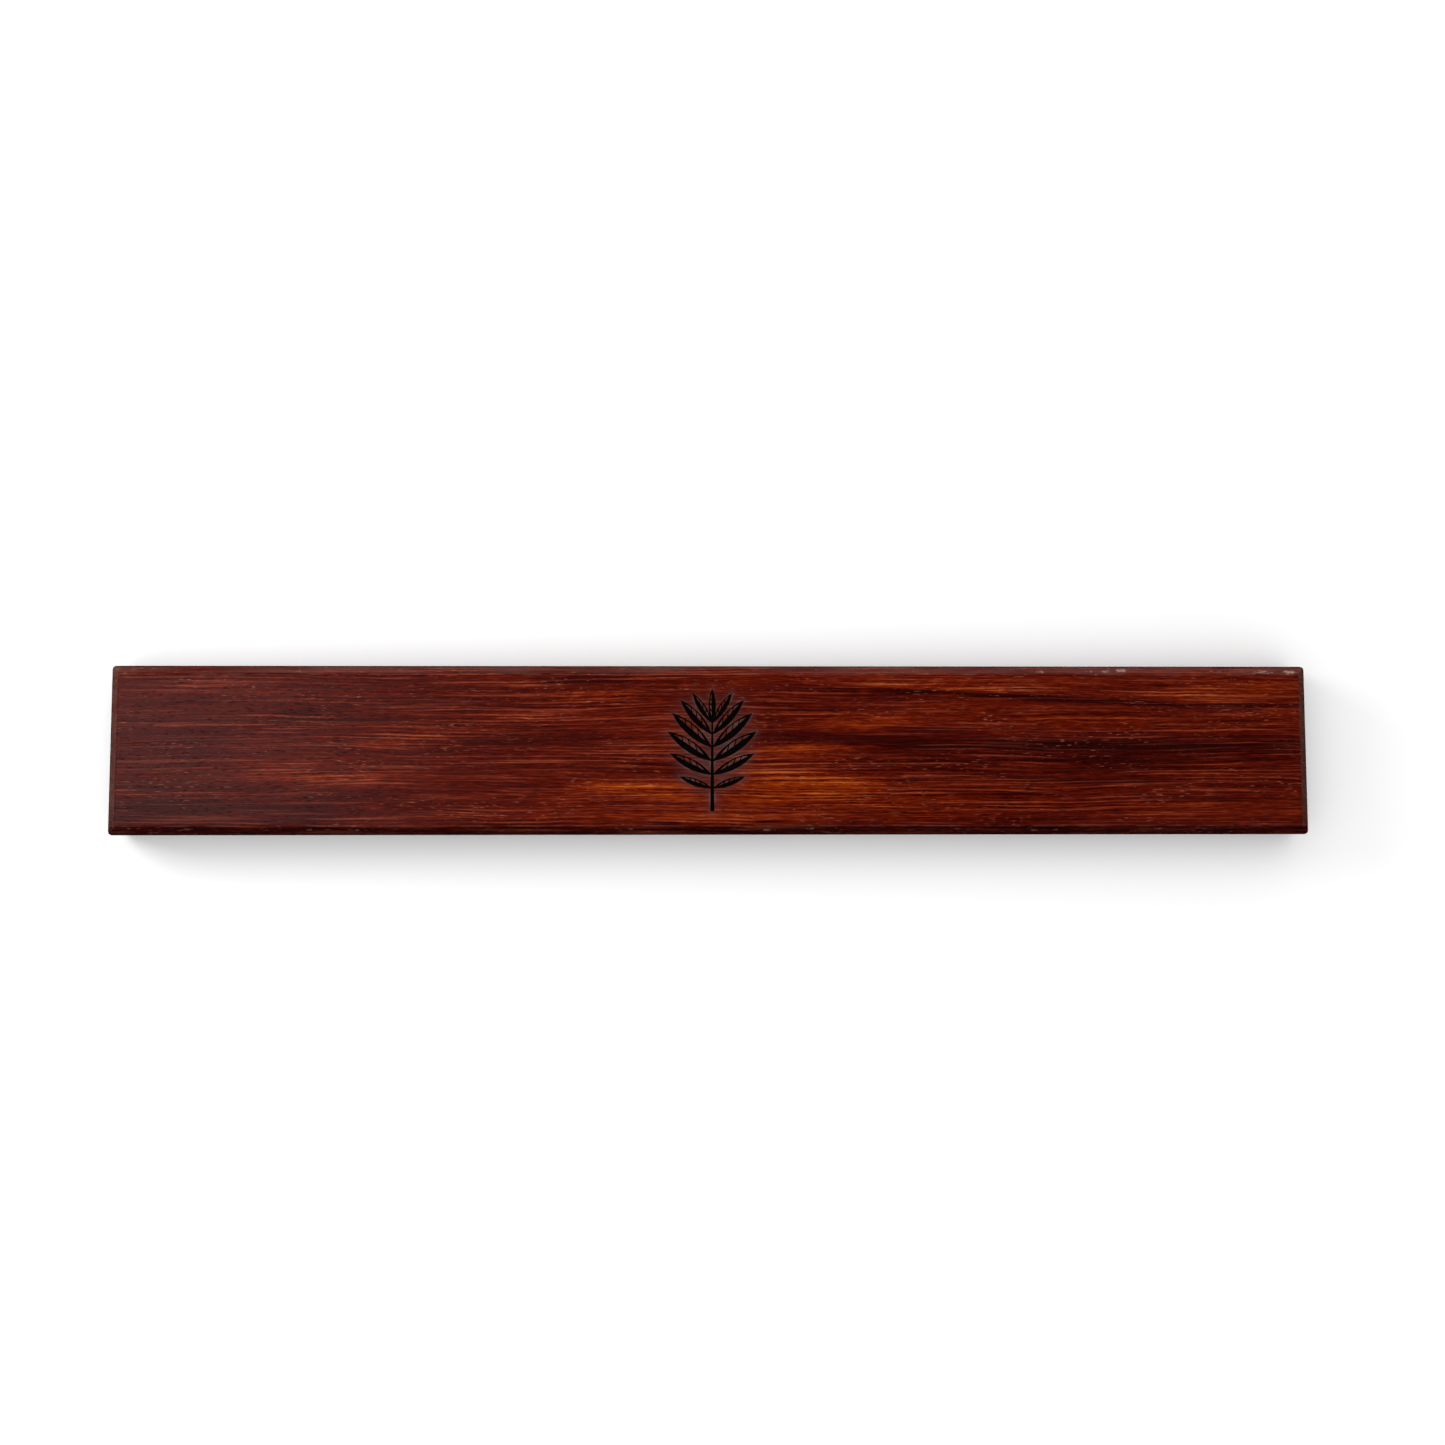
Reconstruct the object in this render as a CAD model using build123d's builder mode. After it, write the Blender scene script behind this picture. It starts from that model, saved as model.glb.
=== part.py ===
"""Wooden wrist rest for a full-size keyboard: one solid hardwood board on six stick-on silicone feet.

Row frame: +X along the board to the user's right, +Y towards the keyboard, +Z up.
The origin is on the desk, under the middle of the board. All sizes are in millimetres.
"""

import os
from math import radians, tan

from build123d import *

# ---------------------------------------------------------------- driving dimensions
board_length = 440.0
board_width = 62.0
board_thickness = 18.0
top_chamfer = 3.0
bottom_chamfer = 1.0
corner_radius = 1.6

foot_diameter = 10.0
foot_height = 2.0
foot_draft = 4.0  # degrees of moulding draft on the foot's wall
foot_edge_radius = 0.35
foot_groove_diameters = (6.4, 4.0)  # the larger first, because each ring is a disc less a disc
foot_groove_width = 0.6
foot_groove_depth = 0.25

adhesive_diameter = 9.4
adhesive_thickness = 0.15

pocket_diameter = 10.6
pocket_depth = 0.9
foot_end_inset = 22.0
foot_edge_inset = 11.0

ornament_height = 45.0
engraving_depth = 0.4
line_width = 0.5  # the laser's outline stroke
vein_width = 0.4

# ---------------------------------------------------------------- worked-out sizes
foot_stand_out = adhesive_thickness + foot_height - pocket_depth
board_bottom = foot_stand_out
board_top = board_bottom + board_thickness
pocket_roof = board_bottom + pocket_depth

foot_x = board_length / 2 - foot_end_inset
foot_y = board_width / 2 - foot_edge_inset
foot_columns = {"left": -foot_x, "centre": 0.0, "right": foot_x}
foot_rows = {"front": -foot_y, "back": foot_y}
foot_places = {
    f"{row}_{column}": (x, y)
    for row, y in foot_rows.items()
    for column, x in foot_columns.items()
}

os.makedirs("parts", exist_ok=True)


def write(built, name):
    """Labels a finished sub-part and writes it as one STEP file."""
    built.part.label = name
    export_step(built.part, f"parts/{name}.step")


# ---------------------------------------------------------------- engraved leaf sprig
def leaflet(length, breadth):
    """One pointed leaflet from the origin along +X, its lower half solid and its upper half veined."""
    rib = line_width / 2
    light_start = 0.2 * length
    light_end = 0.86 * length
    light_bulge = breadth / 2 - line_width - rib
    vein_places = [light_start + share * (light_end - light_start) for share in (0.22, 0.46, 0.70)]

    with BuildSketch() as light_half:
        with BuildLine():
            SagittaArc((light_start, rib), (light_end, rib), light_bulge)
            Line((light_end, rib), (light_start, rib))
        make_face()
        with Locations(*[(x, rib) for x in vein_places]):
            Rectangle(2 * breadth, vein_width, rotation=38, mode=Mode.SUBTRACT)

    with BuildSketch() as blade:
        with BuildLine():
            SagittaArc((0, 0), (length, 0), breadth / 2)
            SagittaArc((length, 0), (0, 0), breadth / 2)
        make_face()
        add(light_half.sketch, mode=Mode.SUBTRACT)
    return blade.sketch


# Each pair of leaflets: height on the stem as a share of the ornament's height, angle from +X, length.
leaflet_pairs = [
    (-0.315, 20, 12.8),
    (-0.205, 27, 17.4),
    (-0.095, 34, 19.8),
    (0.015, 41, 19.6),
    (0.120, 48, 17.4),
    (0.215, 57, 13.4),
]
leaflet_slenderness = 0.215
tip_leaflet_length = 12.6
stem_foot_width = 1.5
stem_tip_width = 0.6
stem_top = ornament_height / 2 - tip_leaflet_length + 2.0

with BuildSketch() as sprig:
    for share, angle, length in leaflet_pairs:
        with Locations(Location((0, share * ornament_height, 0), (0, 0, angle))):
            add(leaflet(length, leaflet_slenderness * length))
    mirror(about=Plane.YZ)
    with Locations(Location((0, ornament_height / 2 - tip_leaflet_length, 0), (0, 0, 90))):
        add(leaflet(tip_leaflet_length, leaflet_slenderness * tip_leaflet_length))
    with BuildLine():
        Polyline(
            (-stem_foot_width / 2, -ornament_height / 2),
            (stem_foot_width / 2, -ornament_height / 2),
            (stem_tip_width / 2, stem_top),
            (-stem_tip_width / 2, stem_top),
            close=True,
        )
    make_face()

# ---------------------------------------------------------------- board
# The plan outline gives the eased upright corners, and the two octagonal profiles plane the chamfers.


def chamfered_outline(width):
    """The board's cross-section of that width, from its underside up, as points for a closed outline."""
    side = width / 2
    return [
        (-side + bottom_chamfer, board_bottom),
        (side - bottom_chamfer, board_bottom),
        (side, board_bottom + bottom_chamfer),
        (side, board_top - top_chamfer),
        (side - top_chamfer, board_top),
        (-side + top_chamfer, board_top),
        (-side, board_top - top_chamfer),
        (-side, board_bottom + bottom_chamfer),
    ]


with BuildPart() as wood_board:
    with BuildSketch(Plane.XY.offset(board_bottom)):
        RectangleRounded(board_length, board_width, corner_radius)
    extrude(amount=board_thickness)

    with BuildSketch(Plane.XZ):
        with BuildLine():
            Polyline(*chamfered_outline(board_length), close=True)
        make_face()
    extrude(amount=board_width, both=True, mode=Mode.INTERSECT)

    with BuildSketch(Plane.YZ):
        with BuildLine():
            Polyline(*chamfered_outline(board_width), close=True)
        make_face()
    extrude(amount=board_length, both=True, mode=Mode.INTERSECT)

    with BuildSketch(Plane.XY.offset(board_bottom)):
        with Locations(*foot_places.values()):
            Circle(pocket_diameter / 2)
    extrude(amount=pocket_depth, mode=Mode.SUBTRACT)

    with BuildSketch(Plane.XY.offset(board_top)):
        add(sprig.sketch)
    extrude(amount=-engraving_depth, mode=Mode.SUBTRACT)
write(wood_board, "wood_board")

# ---------------------------------------------------------------- feet and their adhesive discs
foot_top = pocket_roof - adhesive_thickness
foot_base_radius = foot_diameter / 2 - foot_height * tan(radians(foot_draft))

for place, (x, y) in foot_places.items():
    with BuildPart() as foot:
        with BuildSketch(Plane(origin=(x, y, 0), x_dir=(1, 0, 0), z_dir=(0, -1, 0))):
            with BuildLine():
                Polyline(
                    (0, 0),
                    (foot_base_radius, 0),
                    (foot_diameter / 2, foot_top),
                    (0, foot_top),
                    close=True,
                )
            make_face()
        revolve(axis=Axis((x, y, 0), (0, 0, 1)))
        fillet(foot.edges().group_by(Axis.Z)[0], foot_edge_radius)
        with BuildSketch(Plane((x, y, 0))):
            for groove_diameter in foot_groove_diameters:
                Circle(groove_diameter / 2 + foot_groove_width / 2)
                Circle(groove_diameter / 2 - foot_groove_width / 2, mode=Mode.SUBTRACT)
        extrude(amount=foot_groove_depth, mode=Mode.SUBTRACT)
    write(foot, f"foot_{place}")

    with BuildPart() as adhesive:
        with BuildSketch(Plane.XY.offset(foot_top)):
            with Locations((x, y)):
                Circle(adhesive_diameter / 2)
        extrude(amount=adhesive_thickness)
    write(adhesive, f"foot_adhesive_{place}")
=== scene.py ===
"""Looks for a wooden wrist rest: an oiled hardwood board with a burnt-in leaf sprig, on six silicone feet.

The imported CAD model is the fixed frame. The board's plain solid is replaced by a hand-finished one of the
same size, with eased and slightly worn arrises, raised grain, the engraving and the foot pockets. The feet
and their adhesive discs keep their CAD shapes and get their own finishes. Everything is in metres, +X
along the board, +Y towards the keyboard, +Z up.
"""

from __future__ import annotations

import logging
import math
from dataclasses import dataclass
from enum import Enum
from typing import Iterable, Mapping, Sequence, Union

import bmesh
import bpy
import numpy as np
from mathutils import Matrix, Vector
from mathutils.kdtree import KDTree

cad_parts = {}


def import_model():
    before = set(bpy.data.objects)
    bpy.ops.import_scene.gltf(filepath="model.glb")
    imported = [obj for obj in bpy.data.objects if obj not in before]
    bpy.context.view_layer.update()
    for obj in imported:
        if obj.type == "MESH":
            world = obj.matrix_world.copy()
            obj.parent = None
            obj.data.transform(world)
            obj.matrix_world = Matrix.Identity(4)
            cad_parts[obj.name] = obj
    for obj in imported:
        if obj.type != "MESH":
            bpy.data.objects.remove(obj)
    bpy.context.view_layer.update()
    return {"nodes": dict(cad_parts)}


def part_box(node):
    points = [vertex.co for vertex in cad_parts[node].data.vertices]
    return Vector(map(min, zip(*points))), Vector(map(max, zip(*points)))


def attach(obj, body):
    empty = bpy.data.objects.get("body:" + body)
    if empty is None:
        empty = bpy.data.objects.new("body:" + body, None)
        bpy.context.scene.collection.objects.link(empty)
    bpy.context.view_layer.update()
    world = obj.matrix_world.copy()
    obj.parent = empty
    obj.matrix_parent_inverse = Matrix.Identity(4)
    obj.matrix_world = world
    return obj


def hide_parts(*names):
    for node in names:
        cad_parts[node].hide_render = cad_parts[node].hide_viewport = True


LOG = logging.getLogger("wrist_rest")
MM = 0.001
BODY = "root"
SAME = 1e-6
WELD = 0.001 * MM
LEVEL_ENOUGH = 0.99
UPRIGHT_ENOUGH = 0.5
CRISP_ANGLE = math.radians(38)

Colour = tuple[float, float, float]
Grain = tuple[float, float, float]
Stops = Sequence[tuple[float, Colour]]
Points = np.ndarray
Pair = tuple[float, float]
Rings = tuple[Pair, ...]
Material = bpy.types.Material
Object = bpy.types.Object
Socket = bpy.types.NodeSocket


# ---------------------------------------------------------------- shader maths
class Signal:
    """A shader socket that joins in Python arithmetic. Each operator adds one Math node to its bench."""

    def __init__(self, bench: "Bench", socket: Socket) -> None:
        """Wraps an output socket that carries one number, on the bench whose tree holds it."""
        self.bench = bench
        self.socket = socket

    def maths(self, operation: str, *others: "Value", clamp: bool = False) -> "Signal":
        """Joins this signal with others through a Math node of that operation."""
        return self.bench.maths(operation, self, *others, clamp=clamp)

    def __add__(self, other: "Value") -> "Signal":
        """Adds a signal or a number."""
        return self.maths("ADD", other)

    def __radd__(self, other: "Value") -> "Signal":
        """Adds to a number."""
        return self.maths("ADD", other)

    def __sub__(self, other: "Value") -> "Signal":
        """Takes a signal or a number away."""
        return self.maths("SUBTRACT", other)

    def __rsub__(self, other: "Value") -> "Signal":
        """Is taken away from a number."""
        return self.bench.maths("SUBTRACT", other, self)

    def __mul__(self, other: "Value") -> "Signal":
        """Multiplies by a signal or a number."""
        return self.maths("MULTIPLY", other)

    def __rmul__(self, other: "Value") -> "Signal":
        """Multiplies a number."""
        return self.maths("MULTIPLY", other)

    def __pow__(self, other: "Value") -> "Signal":
        """Rises to a power."""
        return self.maths("POWER", other)

    def __abs__(self) -> "Signal":
        """Drops its sign."""
        return self.maths("ABSOLUTE")

    def held(self) -> "Signal":
        """Stays between 0 and 1."""
        return self.maths("ADD", 0.0, clamp=True)

    def bell(self, centre: float, reach: float) -> "Signal":
        """Is 1 at the centre and falls off smoothly, to about a third at the reach from it."""
        away = (self - centre) * (1.0 / reach)
        return self.bench.maths("EXPONENT", away * away * -1.0)

    def step(self, low: float, high: float) -> "Signal":
        """Rises smoothly from 0 at low to 1 at high, or falls where low is the larger.

        Args:
            low: the value that gives 0.
            high: the value that gives 1.

        Returns:
            A signal from 0 to 1.
        """
        wired = {"Value": self, "From Min": low, "From Max": high, "To Min": 0.0, "To Max": 1.0}
        node = self.bench.node("ShaderNodeMapRange", {"interpolation_type": "SMOOTHSTEP"}, wired)
        return Signal(self.bench, node.outputs["Result"])


Value = Union[Signal, float]
Wire = Union[Signal, Socket, float, Sequence[float]]


class Bench:
    """A workbench for one node tree: it adds nodes, wires them and hands their results back as signals."""

    COLOUR_A, COLOUR_B, COLOUR_RESULT = 6, 7, 2

    def __init__(self, owner: Union[Material, bpy.types.World]) -> None:
        """Clears the tree of a new material or world.

        Args:
            owner: the material or the world.
        """
        self.owner = owner
        self.owner.use_nodes = True
        self.tree = self.owner.node_tree
        self.tree.nodes.clear()

    @classmethod
    def for_material(cls, name: str) -> "Bench":
        """Starts an empty material of that name."""
        return cls(bpy.data.materials.new(name))

    def node(
        self, kind: str, settings: Mapping[str, object], wired: Mapping[Union[str, int], Wire]
    ) -> bpy.types.Node:
        """Adds one node.

        Args:
            kind: the node's type.
            settings: its settings, set first; "stops" gives a colour ramp's places and colours.
            wired: the values or links of its sockets, by name or place.

        Returns:
            The node.
        """
        node = self.tree.nodes.new(kind)
        for key, value in settings.items():
            if key == "stops":
                self._set_stops(node.color_ramp, value)
            else:
                setattr(node, key, value)
        for key, value in wired.items():
            if isinstance(value, Signal):
                self.tree.links.new(value.socket, node.inputs[key])
            elif isinstance(value, Socket):
                self.tree.links.new(value, node.inputs[key])
            else:
                node.inputs[key].default_value = value
        return node

    @staticmethod
    def _set_stops(ramp: bpy.types.ColorRamp, stops: Stops) -> None:
        """Gives a ramp its stops.

        Args:
            ramp: the ramp, with its two default stops.
            stops: places from 0 to 1, in order, with their colours.
        """
        for _ in stops[2:]:
            ramp.elements.new(1.0)
        for element, (place, colour) in zip(ramp.elements, stops):
            element.position = place
            element.color = (*colour, 1.0)

    def maths(self, operation: str, *parts: Value, clamp: bool = False) -> Signal:
        """Adds a Math node of that operation, which may hold its result between 0 and 1."""
        settings = {"operation": operation, "use_clamp": clamp}
        return Signal(self, self.node("ShaderNodeMath", settings, dict(enumerate(parts))).outputs[0])

    def place(self) -> Socket:
        """Where the surface lies.

        Returns:
            The place in the object's own frame, in millimetres.
        """
        coordinates = self.node("ShaderNodeTexCoord", {}, {})
        wired = {0: coordinates.outputs["Object"], "Scale": 1.0 / MM}
        return self.node("ShaderNodeVectorMath", {"operation": "SCALE"}, wired).outputs[0]

    def split(self, vector: Socket) -> tuple[Signal, Signal, Signal]:
        """Takes a vector apart into its three numbers."""
        parts = self.node("ShaderNodeSeparateXYZ", {}, {0: vector}).outputs
        return Signal(self, parts[0]), Signal(self, parts[1]), Signal(self, parts[2])

    def painted(self, name: str) -> Signal:
        """The number that the mesh carries at its vertices under that name."""
        node = self.node("ShaderNodeAttribute", {"attribute_name": name}, {})
        return Signal(self, node.outputs["Fac"])

    def vector(self, x: Value, y: Value, z: Value) -> Socket:
        """Joins three numbers into a vector."""
        return self.node("ShaderNodeCombineXYZ", {}, {0: x, 1: y, 2: z}).outputs[0]

    def noise(
        self, spot: Socket, size: Grain, detail: float = 0.0, roughness: float = 0.5, seed: float = 0.0
    ) -> Signal:
        """Soft noise about 0.

        Args:
            spot: the place, in millimetres.
            size: the noise's own size along each direction, in millimetres.
            detail: how many finer layers are added.
            roughness: how strong each finer layer is.
            seed: a shift that gives another noise of the same kind.

        Returns:
            A signal about 0, mostly within 0.35 of it.
        """
        scale = tuple(1.0 / length for length in size)
        wired = {0: spot, 1: scale, 2: (seed, seed, seed)}
        moved = self.node("ShaderNodeVectorMath", {"operation": "MULTIPLY_ADD"}, wired).outputs[0]
        wired = {"Vector": moved, "Scale": 1.0, "Detail": detail, "Roughness": roughness}
        return Signal(self, self.node("ShaderNodeTexNoise", {}, wired).outputs["Fac"]) - 0.5

    def ramp(self, signal: Signal, stops: Stops) -> Socket:
        """Turns a number from 0 to 1 into a colour through a ramp's stops."""
        return self.node("ShaderNodeValToRGB", {"stops": stops}, {0: signal}).outputs["Color"]

    def blend(self, share: Value, first: Wire, second: Wire) -> Socket:
        """Mixes two colours.

        Args:
            share: how much of the second, from 0 to 1.
            first: the first colour.
            second: the second colour.

        Returns:
            The mixed colour's socket.
        """
        first, second = (tuple(c) + (1.0,) if isinstance(c, tuple) else c for c in (first, second))
        wired = {0: share, self.COLOUR_A: first, self.COLOUR_B: second}
        return self.node("ShaderNodeMix", {"data_type": "RGBA"}, wired).outputs[self.COLOUR_RESULT]

    def bump(self, height: Signal, distance_mm: float, strength: float = 1.0) -> Socket:
        """Turns a height from 0 to 1 into a normal. The distance is the height of 1, in millimetres."""
        wired = {"Height": height, "Distance": distance_mm * MM, "Strength": strength}
        return self.node("ShaderNodeBump", {}, wired).outputs["Normal"]

    def finish(self, **wired: Wire) -> Material:
        """Ends the material in one principled shader.

        Args:
            wired: the shader's sockets, by name with underscores for spaces.

        Returns:
            The material.
        """
        sockets = {key.replace("_", " "): value for key, value in wired.items()}
        shader = self.node("ShaderNodeBsdfPrincipled", {}, sockets)
        self.node("ShaderNodeOutputMaterial", {}, {"Surface": shader.outputs[0]})
        return self.owner


# ---------------------------------------------------------------- finishes
@dataclass(frozen=True)
class OiledHardwood:
    """Straight-grained dark red hardwood under thin satin oil, with open pores and rubbed arrises, and
    painted highlights, sheen and shade.
    """

    board_top: float
    board_half_length: float
    board_half_width: float
    bevel: float
    layer_tilt: float = 32.0
    # the cooler, duller wood; its larger share on the left part of the board is partly a painted haze of
    # reflection
    cool: Stops = (
        (0.00, (0.0210, 0.0018, 0.0014)),
        (0.25, (0.0380, 0.0026, 0.0018)),
        (0.50, (0.0660, 0.0046, 0.0024)),
        (0.75, (0.1400, 0.0170, 0.0085)),
        (1.00, (0.2500, 0.0620, 0.0360)),
    )
    warm: Stops = (
        (0.00, (0.0056, 0.0002, 0.0001)),
        (0.25, (0.0290, 0.0008, 0.0001)),
        (0.50, (0.0920, 0.0054, 0.0002)),
        (0.75, (0.1950, 0.0215, 0.0008)),
        (1.00, (0.3400, 0.0850, 0.0100)),
    )
    # painted highlight: the colour of the glints at the pores and of a faint sheen along the bright lines
    painted_glint_colour: Colour = (0.420, 0.140, 0.080)
    smoke: Colour = (0.058, 0.031, 0.030)
    ash: Colour = (0.140, 0.092, 0.086)
    rubbed: Colour = (0.330, 0.215, 0.185)
    # painted shade: the dark line along the upper bevels' lower edge
    painted_edge_shade: Colour = (0.010, 0.0030, 0.0022)
    # painted reflection: the pale sheen on the back and end bevels
    painted_bevel_sheen: Colour = (0.140, 0.078, 0.064)
    end_grain: Colour = (0.018, 0.0045, 0.0035)
    # painted highlight: the pale line along the long upper arrises
    painted_arris_highlight: Colour = (0.170, 0.066, 0.052)
    # sizes of the figure along the fibres, across the growth layers and within a layer, in millimetres
    layers: Grain = (170, 3.2, 9)
    fibres: Grain = (70, 0.85, 2.2)
    lines: Grain = (44, 0.52, 1.4)
    combing: Grain = (56, 7, 12)
    hairs: Grain = (6, 0.40, 0.8)
    # the sizes of the painted glints at the pores
    glint_flecks: Grain = (2.6, 0.32, 0.5)
    pores: Grain = (2.6, 0.34, 0.5)
    # how much each of them lightens or darkens the wood
    middle_tone: float = 0.447
    layer_tone: float = 0.20
    fibre_tone: float = 0.34
    hair_tone: float = 0.76
    bright_line_tone: float = 0.22
    dark_line_tone: float = 0.20
    pore_tone: float = 0.16
    # painted shade: how much darker the front bevel, which faces away from the light, is painted
    front_bevel_painted_shade: float = 0.17
    # how far the fibres wander across the layers, in millimetres
    sway: float = 4.0
    shiver: float = 0.4
    quiver: float = 0.12

    def material(self) -> Material:
        """Mixes the finish.

        Returns:
            The material.
        """
        bench = Bench.for_material("oiled_hardwood_grain")
        place = bench.place()
        x, y, z = bench.split(place)
        wood = self._growth(bench, x, y, z)
        broad = bench.noise(wood, self.layers, 1.0)
        fibre = bench.noise(wood, self.fibres, 1.0, 0.6)
        line = bench.noise(wood, self.lines, 0.6, 0.5, seed=7.0)
        combed = bench.noise(wood, self.combing, 1.0, seed=37.0).step(-0.14, 0.14)
        hair = bench.noise(wood, self.hairs, 1.0, 0.8)
        glint_fleck = bench.noise(wood, self.glint_flecks, seed=19.0)
        shiny = bench.noise(place, (30, 9, 9), 1.0, seed=23.0).step(-0.12, 0.16)
        pore = bench.noise(wood, self.pores, seed=40.0)
        bright, dark = line.step(0.05, 0.21), line.step(-0.05, -0.21)
        # painted highlight: glints where the highest flecks rise, in patches
        painted_glint, hollow = glint_fleck.step(0.20, 0.30) * shiny, pore.step(-0.16, -0.26)

        level = self.middle_tone + bench.painted("tone")
        level = level + broad * self.layer_tone + fibre * self.fibre_tone + hair * self.hair_tone
        lined = (bright * self.bright_line_tone - dark * self.dark_line_tone) * (combed * 0.65 + 0.55)
        level = level + lined - hollow * self.pore_tone
        # painted shade: the front bevel is painted darker, as it faces away from the light
        level = (level - self._front_bevel(y, z) * self.front_bevel_painted_shade).held()
        share = (bench.painted("warmth") + broad * 0.5 + fibre * 0.3).held()
        colour = bench.blend(share, bench.ramp(level, self.cool), bench.ramp(level, self.warm))
        # painted highlight: glints at the pores and a faint sheen along the bright lines
        colour = bench.blend(painted_glint * 0.34 + bright * (combed * 0.5 + 0.5) * 0.08, colour, self.painted_glint_colour)
        colour = self._dressed_edges(bench, colour, place)
        scorch = bench.painted("scorch")
        colour = bench.blend(scorch * 0.55, colour, self.smoke)
        patchy = bench.noise(place, (5, 4, 4), 1.0, seed=3.0).step(-0.12, 0.2)
        colour = bench.blend(bench.painted("ash") * patchy * 0.4, colour, self.ash)
        scuff = bench.noise(place, (1.5, 0.42, 0.42), 2.0, 0.65, seed=11.0)
        wear = bench.painted("wear")
        worn = (wear + scuff * 1.1).step(0.34, 0.66) * wear.step(0.02, 0.12)
        colour = bench.blend(worn * 0.72, colour, self.rubbed)
        rough = 0.25 + hair * 0.15 + hollow * 0.2 - painted_glint * 0.08 + scorch * 0.2
        height = 0.5 + fibre * 0.6 + bright * 0.15 - dark * 0.15 + hair * 0.5 - hollow * 0.4 + painted_glint * 0.12
        return bench.finish(
            Base_Color=colour,
            Roughness=rough,
            Normal=bench.bump(height, 0.08, 0.5),
            Specular_IOR_Level=0.19,
        )

    def _growth(self, bench: Bench, x: Signal, y: Signal, z: Signal) -> Socket:
        """The place within the tree: along the fibres, across the growth layers and within a layer.

        Args:
            bench: the material's bench.
            x: the place along the board, in millimetres.
            y: the place across it.
            z: the height.

        Returns:
            The place as a vector, with the fibres' slow sway taken out.
        """
        tilt = math.radians(self.layer_tilt)
        depth = self.board_top / MM - z
        across = y * math.cos(tilt) + depth * math.sin(tilt)
        within = depth * math.cos(tilt) - y * math.sin(tilt)
        straight = bench.vector(x, across, within)
        across = across + bench.noise(straight, (90, 18, 24), 1.0) * self.sway
        across = across + bench.noise(straight, (15, 3.0, 6)) * self.shiver
        across = across + bench.noise(straight, (5.0, 1.6, 4), seed=5.0) * self.quiver
        return bench.vector(x, across, within)

    def _front_bevel(self, y: Signal, z: Signal) -> Signal:
        """Where the bevel along the front lies.

        Args:
            y: the place across the board, in millimetres.
            z: the height.

        Returns:
            A signal from 0 to 1.
        """
        flat = (self.board_half_width - self.bevel) / MM
        foot = (self.board_top - self.bevel) / MM
        return y.step(-flat + 0.12, -flat - 0.10) * z.step(foot - 0.8, foot)

    def _dressed_edges(self, bench: Bench, colour: Socket, place: Socket) -> Socket:
        """Darkens the end grain and paints sheen on the bevels, shade at their lower edge and highlights on
        the long arrises.

        Args:
            bench: the material's bench.
            colour: the wood's colour so far.
            place: the place in the board, in millimetres.

        Returns:
            The colour's socket.
        """
        x, y, z = bench.split(place)
        flat_length = (self.board_half_length - self.bevel) / MM
        flat_width = (self.board_half_width - self.bevel) / MM
        cloudy = bench.noise(place, (26, 5, 5), 2.0, 0.6, seed=2.0).step(-0.30, 0.30)
        top, bevel_foot = self.board_top / MM, (self.board_top - self.bevel) / MM
        bevels = z.step(top - 0.2, top - 0.7) * z.step(bevel_foot - 0.3, bevel_foot + 0.2)
        end_grain = abs(x).step(flat_length - 0.1, flat_length + 0.5)
        # painted reflection: a pale, cloudy sheen on the back bevel and a little on the end bevels, kept
        # off the front bevel
        bevel_sheen_share = bevels * (1.0 - self._front_bevel(y, z))
        colour = bench.blend(bevel_sheen_share * (cloudy * 0.30 + end_grain * 0.13), colour, self.painted_bevel_sheen)
        colour = bench.blend(end_grain * (1.0 - bevels) * 0.35, colour, self.end_grain)
        # painted shade: a dark line along the upper bevels' lower edge, where the surface turns away from
        # the light
        foot = z.bell(bevel_foot - 0.05, 0.30)
        colour = bench.blend(foot * 0.75, colour, self.painted_edge_shade)
        # painted highlight: a broken pale line along the long upper arrises
        rub = bench.noise(place, (9, 9, 9), 2.0).step(-0.12, 0.16)
        arris_highlight_band = abs(y).bell(flat_width - 0.25, 0.24) * (1.0 - end_grain)
        return bench.blend(arris_highlight_band * rub * 0.32, colour, self.painted_arris_highlight)


@dataclass(frozen=True)
class CharredWood:
    """The floor and walls of the burnt engraving: dry black char with a trace of brown."""

    def material(self) -> Material:
        """Mixes the finish.

        Returns:
            The material.
        """
        bench = Bench.for_material("charred_wood")
        place = bench.place()
        crust = bench.noise(place, (0.8, 0.35, 0.35), 2.0)
        seam = bench.noise(place, (9, 0.6, 0.6), 1.0)
        level = (0.5 + crust * 0.9 + seam * 0.8).held()
        colour = bench.ramp(level, ((0.0, (0.0004, 0.0004, 0.0004)), (1.0, (0.0030, 0.0018, 0.0017))))
        return bench.finish(
            Base_Color=colour,
            Roughness=0.80 + crust * 0.2,
            Normal=bench.bump(level, 0.08, 0.7),
            Specular_IOR_Level=0.05,
        )


@dataclass(frozen=True)
class DrilledWood:
    """The bare wood inside the foot pockets, with the faint rings that the cutter left."""

    centres: tuple[Pair, ...]
    ring_gap: float = 0.45

    def material(self) -> Material:
        """Mixes the finish.

        Returns:
            The material.
        """
        bench = Bench.for_material("drilled_wood")
        place = bench.place()
        x, y, _ = bench.split(place)
        fibre = bench.noise(place, (9, 0.5, 0.5), 2.0)
        fuzz = bench.noise(place, (0.5, 0.3, 0.3), 1.0)
        nearest = None
        for centre_x, centre_y in self.centres:
            away_x, away_y = x - centre_x / MM, y - centre_y / MM
            away = (away_x * away_x + away_y * away_y) ** 0.5
            nearest = away if nearest is None else nearest.maths("MINIMUM", away)
        ring = (nearest * (math.tau / self.ring_gap)).maths("SINE")
        level = (0.5 + fibre * 1.1 + fuzz * 0.5 + ring * 0.12).held()
        colour = bench.ramp(level, ((0.0, (0.090, 0.022, 0.010)), (1.0, (0.330, 0.120, 0.060))))
        return bench.finish(
            Base_Color=colour,
            Roughness=0.78 + fuzz * 0.2,
            Normal=bench.bump(level, 0.06, 0.6),
            Specular_IOR_Level=0.3,
        )


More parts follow.
